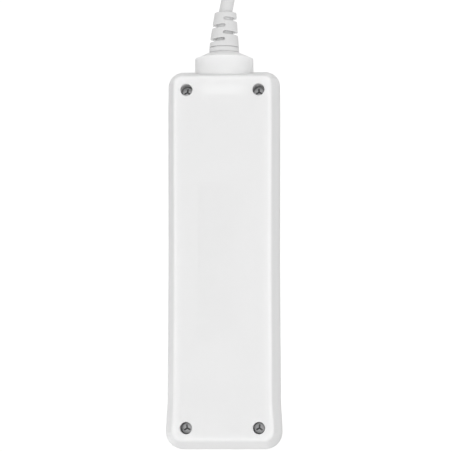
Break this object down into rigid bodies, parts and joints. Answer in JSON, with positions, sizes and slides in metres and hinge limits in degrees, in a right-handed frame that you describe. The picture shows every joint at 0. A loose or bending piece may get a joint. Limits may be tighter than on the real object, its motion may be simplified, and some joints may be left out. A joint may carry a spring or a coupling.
{
  "type": "power strip",
  "caption": "White power strip with a row of round earthed sockets, a lit rocker switch, and a tied mains cord with an angled plug; its flat back has recessed screws.",
  "frame": {"origin": "centre of the housing's flat back, half way between the pairs of housing screws", "axes": "+Z out of the socket face, +Y along the housing towards the cord outlet, +X across the housing"},
  "size_m": [0.0648, 0.487, 0.0475],
  "materials": {
    "housing": "fine satin moulding",
    "socket_plastic": "smooth semi-gloss moulding",
    "shutter_plastic": "plain moulding",
    "screw_steel": "zinc plated",
    "spring_steel": "drawn wire",
    "contact_brass": "stamped strip",
    "switch_plastic": "smooth moulding",
    "rocker_plastic": "clear red moulding",
    "lamp_glass": "clear lamp glass",
    "clamp_plastic": "plain moulding",
    "cord_pvc": "soft satin sleeve",
    "wire_brown": "soft satin sleeve",
    "wire_blue": "soft satin sleeve",
    "wire_green": "green and yellow sleeve",
    "tie_fabric": "woven strap",
    "plug_plastic": "soft satin moulding",
    "pin_nickel": "nickel plated brass"
  },
  "bodies": {
    "housing": {"front_shell": "housing", "back_cover": "housing", "housing_screws": "screw_steel", "socket_insert_1": "socket_plastic", "socket_insert_2": "socket_plastic", "socket_insert_3": "socket_plastic", "shutter_spring_1": "spring_steel", "shutter_spring_2": "spring_steel", "shutter_spring_3": "spring_steel", "live_busbar": "contact_brass", "neutral_busbar": "contact_brass", "earth_bar": "contact_brass", "switch_frame": "switch_plastic", "switch_terminals": "contact_brass", "neon_lamp": "lamp_glass", "cord_clamp": "clamp_plastic", "clamp_screws": "screw_steel", "strain_relief": "cord_pvc", "inner_cord": "cord_pvc", "live_wire": "wire_brown", "neutral_wire": "wire_blue", "earth_wire": "wire_green", "switched_live_wire": "wire_brown", "switched_neutral_wire": "wire_blue", "cord_lead": "cord_pvc", "cord_hank": "cord_pvc", "cord_tail": "cord_pvc", "cord_tie": "tie_fabric", "plug_body": "plug_plastic", "plug_relief": "plug_plastic", "plug_pins": "pin_nickel", "plug_earth_contacts": "contact_brass"},
    "rocker": {"switch_rocker": "rocker_plastic"},
    "levers": {"switch_levers": "contact_brass"},
    "shutter_1": {"shutter_1": "shutter_plastic"},
    "shutter_2": {"shutter_2": "shutter_plastic"},
    "shutter_3": {"shutter_3": "shutter_plastic"}
  },
  "joints": [
    {"name": "rocker_tilt", "type": "hinge", "parent": "housing", "child": "rocker", "pos_m": [0, 0.064, 0.0365], "axis": [1, 0, 0], "range_deg": [-20, 0]},
    {"name": "lever_tilt", "type": "hinge", "parent": "housing", "child": "levers", "pos_m": [0, 0.064, 0.0244], "axis": [1, 0, 0], "range_deg": [0, 14]},
    {"name": "shutter_1_turn", "type": "hinge", "parent": "housing", "child": "shutter_1", "pos_m": [0, -0.07, 0.0205], "axis": [0, 0, 1], "range_deg": [0, 42], "stiffness_Nm_per_rad": 0.003, "springref_deg": -11.46},
    {"name": "shutter_2_turn", "type": "hinge", "parent": "housing", "child": "shutter_2", "pos_m": [0, -0.024, 0.0205], "axis": [0, 0, 1], "range_deg": [0, 42], "stiffness_Nm_per_rad": 0.003, "springref_deg": -11.46},
    {"name": "shutter_3_turn", "type": "hinge", "parent": "housing", "child": "shutter_3", "pos_m": [0, 0.022, 0.0205], "axis": [0, 0, 1], "range_deg": [0, 42], "stiffness_Nm_per_rad": 0.003, "springref_deg": -11.46}
  ],
  "couplings": [
    {"joint": "lever_tilt", "follows": "rocker_tilt", "ratio": -0.7}
  ]
}
